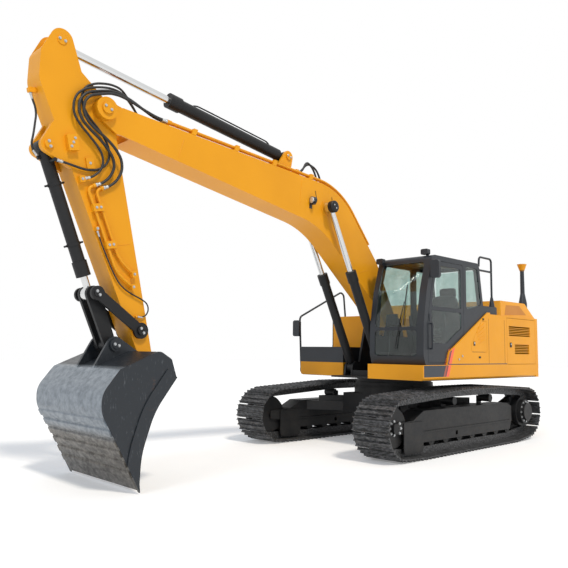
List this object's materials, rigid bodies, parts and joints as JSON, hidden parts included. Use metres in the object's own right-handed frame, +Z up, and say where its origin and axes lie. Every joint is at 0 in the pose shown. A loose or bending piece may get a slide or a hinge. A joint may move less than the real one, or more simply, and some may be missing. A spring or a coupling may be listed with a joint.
{
  "type": "crawler excavator",
  "caption": "Crawler excavator with slewing upper body, one-piece boom, arm and straight-lipped bucket, all joints movable.",
  "frame": {"origin": "on the ground, under the centre of the whole machine as it parks", "axes": "+X forward, towards the boom; +Y to the machine's left; +Z up"},
  "size_m": [9.2292, 2.99, 4.8339],
  "materials": {
    "black_paint": "satin enamel",
    "bucket_steel": "worn enamel",
    "chrome_rod": "polished",
    "glass": "tinted",
    "grey_paint": "satin enamel",
    "hose_rubber": "matt",
    "seat_fabric": "woven",
    "track_steel": "worn steel",
    "yellow_paint": "semi-gloss enamel"
  },
  "bodies": {
    "undercarriage": {"car_body": "black_paint", "carrier_rollers": "black_paint", "idlers": "black_paint", "sprockets": "black_paint", "swing_bearing": "black_paint", "track_frame_left": "black_paint", "track_frame_right": "black_paint", "track_left": "track_steel", "track_right": "track_steel", "track_rollers": "black_paint"},
    "upper": {"beacon_mast": "grey_paint", "cab_controls": "grey_paint", "cab_glass": "glass", "cab_lamps": "grey_paint", "cab_seat": "seat_fabric", "cab_shell": "grey_paint", "cab_side_glass": "glass", "counterweight": "yellow_paint", "engine_block": "black_paint", "handrails": "grey_paint", "house_cover": "grey_paint", "mirrors": "grey_paint", "side_panels": "yellow_paint", "skirt_left": "yellow_paint", "skirt_right": "yellow_paint", "step_box": "grey_paint", "tanks": "yellow_paint", "upper_frame": "black_paint"},
    "step_box_lid": {"step_box_lid": "grey_paint"},
    "cab_door": {"cab_door": "grey_paint", "cab_door_glass": "glass"},
    "filter_door": {"filter_door": "yellow_paint"},
    "radiator_door": {"radiator_door": "yellow_paint"},
    "pump_door": {"pump_door": "yellow_paint"},
    "engine_hood": {"engine_hood": "yellow_paint"},
    "boom": {"boom": "yellow_paint", "boom_pipes": "yellow_paint", "work_lamp": "grey_paint", "swing_hoses": "hose_rubber"},
    "boom_barrels": {"boom_barrels": "black_paint"},
    "boom_rods": {"boom_rods": "chrome_rod"},
    "arm": {"arm": "yellow_paint", "arm_pipes": "yellow_paint", "arm_hose": "hose_rubber", "bucket_hose": "hose_rubber"},
    "arm_barrel": {"arm_barrel": "black_paint"},
    "arm_rod": {"arm_rod": "chrome_rod"},
    "bucket_barrel": {"bucket_barrel": "black_paint"},
    "bucket_rod": {"bucket_rod": "chrome_rod"},
    "rocker_links": {"rocker_links": "black_paint"},
    "bucket_link": {"bucket_link": "black_paint"},
    "bucket": {"bucket": "bucket_steel"}
  },
  "joints": [
    {"name": "slew", "type": "hinge", "parent": "undercarriage", "child": "upper", "pos_m": [-1.73799, 0, 0.965], "axis": [0, 0, 1], "continuous": true},
    {"name": "boom_lift", "type": "hinge", "parent": "upper", "child": "boom", "pos_m": [-1.41299, 0, 1.885], "axis": [0, -1, 0], "range_deg": [-60, 39]},
    {"name": "boom_barrels_swing", "type": "hinge", "parent": "upper", "child": "boom_barrels", "pos_m": [-0.98799, 0, 1.2], "axis": [0, -1, 0], "range_deg": [-54.27, 35.28]},
    {"name": "boom_rods_slide", "type": "slide", "parent": "boom_barrels", "child": "boom_rods", "axis": [0.4531, 0, 0.8915], "range_m": [-0.7434, 0.485]},
    {"name": "arm_swing", "type": "hinge", "parent": "boom", "child": "arm", "pos_m": [3.85883, 0, 4.07081], "axis": [0, 1, 0], "range_deg": [-98, 15], "deforming": ["swing_hoses"]},
    {"name": "arm_barrel_swing", "type": "hinge", "parent": "boom", "child": "arm_barrel", "pos_m": [0.91803, 0, 4.22629], "axis": [0, -1, 0], "range_deg": [-0.38, 2.44]},
    {"name": "arm_rod_slide", "type": "slide", "parent": "arm_barrel", "child": "arm_rod", "axis": [0.9903, 0, 0.1388], "range_m": [-1.1972, 0.1875]},
    {"name": "bucket_curl", "type": "hinge", "parent": "arm", "child": "bucket", "pos_m": [3.20175, 0, 1.23597], "axis": [0, 1, 0], "range_deg": [-5, 160]},
    {"name": "rocker_swing", "type": "hinge", "parent": "arm", "child": "rocker_links", "pos_m": [3.29884, 0, 1.65487], "axis": [0, -1, 0], "range_deg": [-118.1, 3.7]},
    {"name": "bucket_link_swing", "type": "hinge", "parent": "rocker_links", "child": "bucket_link", "pos_m": [3.84502, 0, 2.0412], "axis": [0, -1, 0], "range_deg": [-2.24, 71.23]},
    {"name": "bucket_barrel_swing", "type": "hinge", "parent": "arm", "child": "bucket_barrel", "pos_m": [4.44566, 0, 3.54677], "axis": [0, -1, 0], "range_deg": [-0.08, 2.22], "deforming": ["bucket_hose"]},
    {"name": "bucket_rod_slide", "type": "slide", "parent": "bucket_barrel", "child": "bucket_rod", "axis": [-0.3705, 0, -0.9288], "range_m": [-0.0403, 1.1358]},
    {"name": "cab_door_hinge", "type": "hinge", "parent": "upper", "child": "cab_door", "pos_m": [-1.72599, 1.375, 2], "axis": [0, 0, 1], "range_deg": [0, 165]},
    {"name": "filter_door_hinge", "type": "hinge", "parent": "upper", "child": "filter_door", "pos_m": [-2.37299, 1.366, 1.7], "axis": [0, 0, -1], "range_deg": [-110, 0]},
    {"name": "radiator_door_hinge", "type": "hinge", "parent": "upper", "child": "radiator_door", "pos_m": [-4.13469, 1.366, 1.7], "axis": [0, 0, 1], "range_deg": [0, 110]},
    {"name": "pump_door_hinge", "type": "hinge", "parent": "upper", "child": "pump_door", "pos_m": [-4.13469, -1.366, 1.7], "axis": [0, 0, -1], "range_deg": [0, 110]},
    {"name": "engine_hood_hinge", "type": "hinge", "parent": "upper", "child": "engine_hood", "pos_m": [-2.92399, 0, 2.094], "axis": [0, 1, 0], "range_deg": [0, 60]},
    {"name": "step_box_lid_hinge", "type": "hinge", "parent": "upper", "child": "step_box_lid", "pos_m": [-1.73399, 0, 1.536], "axis": [0, -1, 0], "range_deg": [0, 85]}
  ],
  "couplings": [
    {"joint": "boom_barrels_swing", "follows": "boom_lift", "ratio": 0.88662},
    {"joint": "boom_rods_slide", "follows": "boom_lift", "m_per_rad": 0.70515},
    {"joint": "arm_barrel_swing", "follows": "arm_swing", "ratio": -0.024278},
    {"joint": "arm_rod_slide", "follows": "arm_swing", "m_per_rad": 0.69702},
    {"joint": "rocker_swing", "follows": "bucket_curl", "ratio": -0.72357},
    {"joint": "bucket_link_swing", "follows": "bucket_curl", "ratio": 0.43637},
    {"joint": "bucket_barrel_swing", "follows": "bucket_curl", "ratio": 0.013522},
    {"joint": "bucket_rod_slide", "follows": "bucket_curl", "m_per_rad": 0.40494}
  ]
}
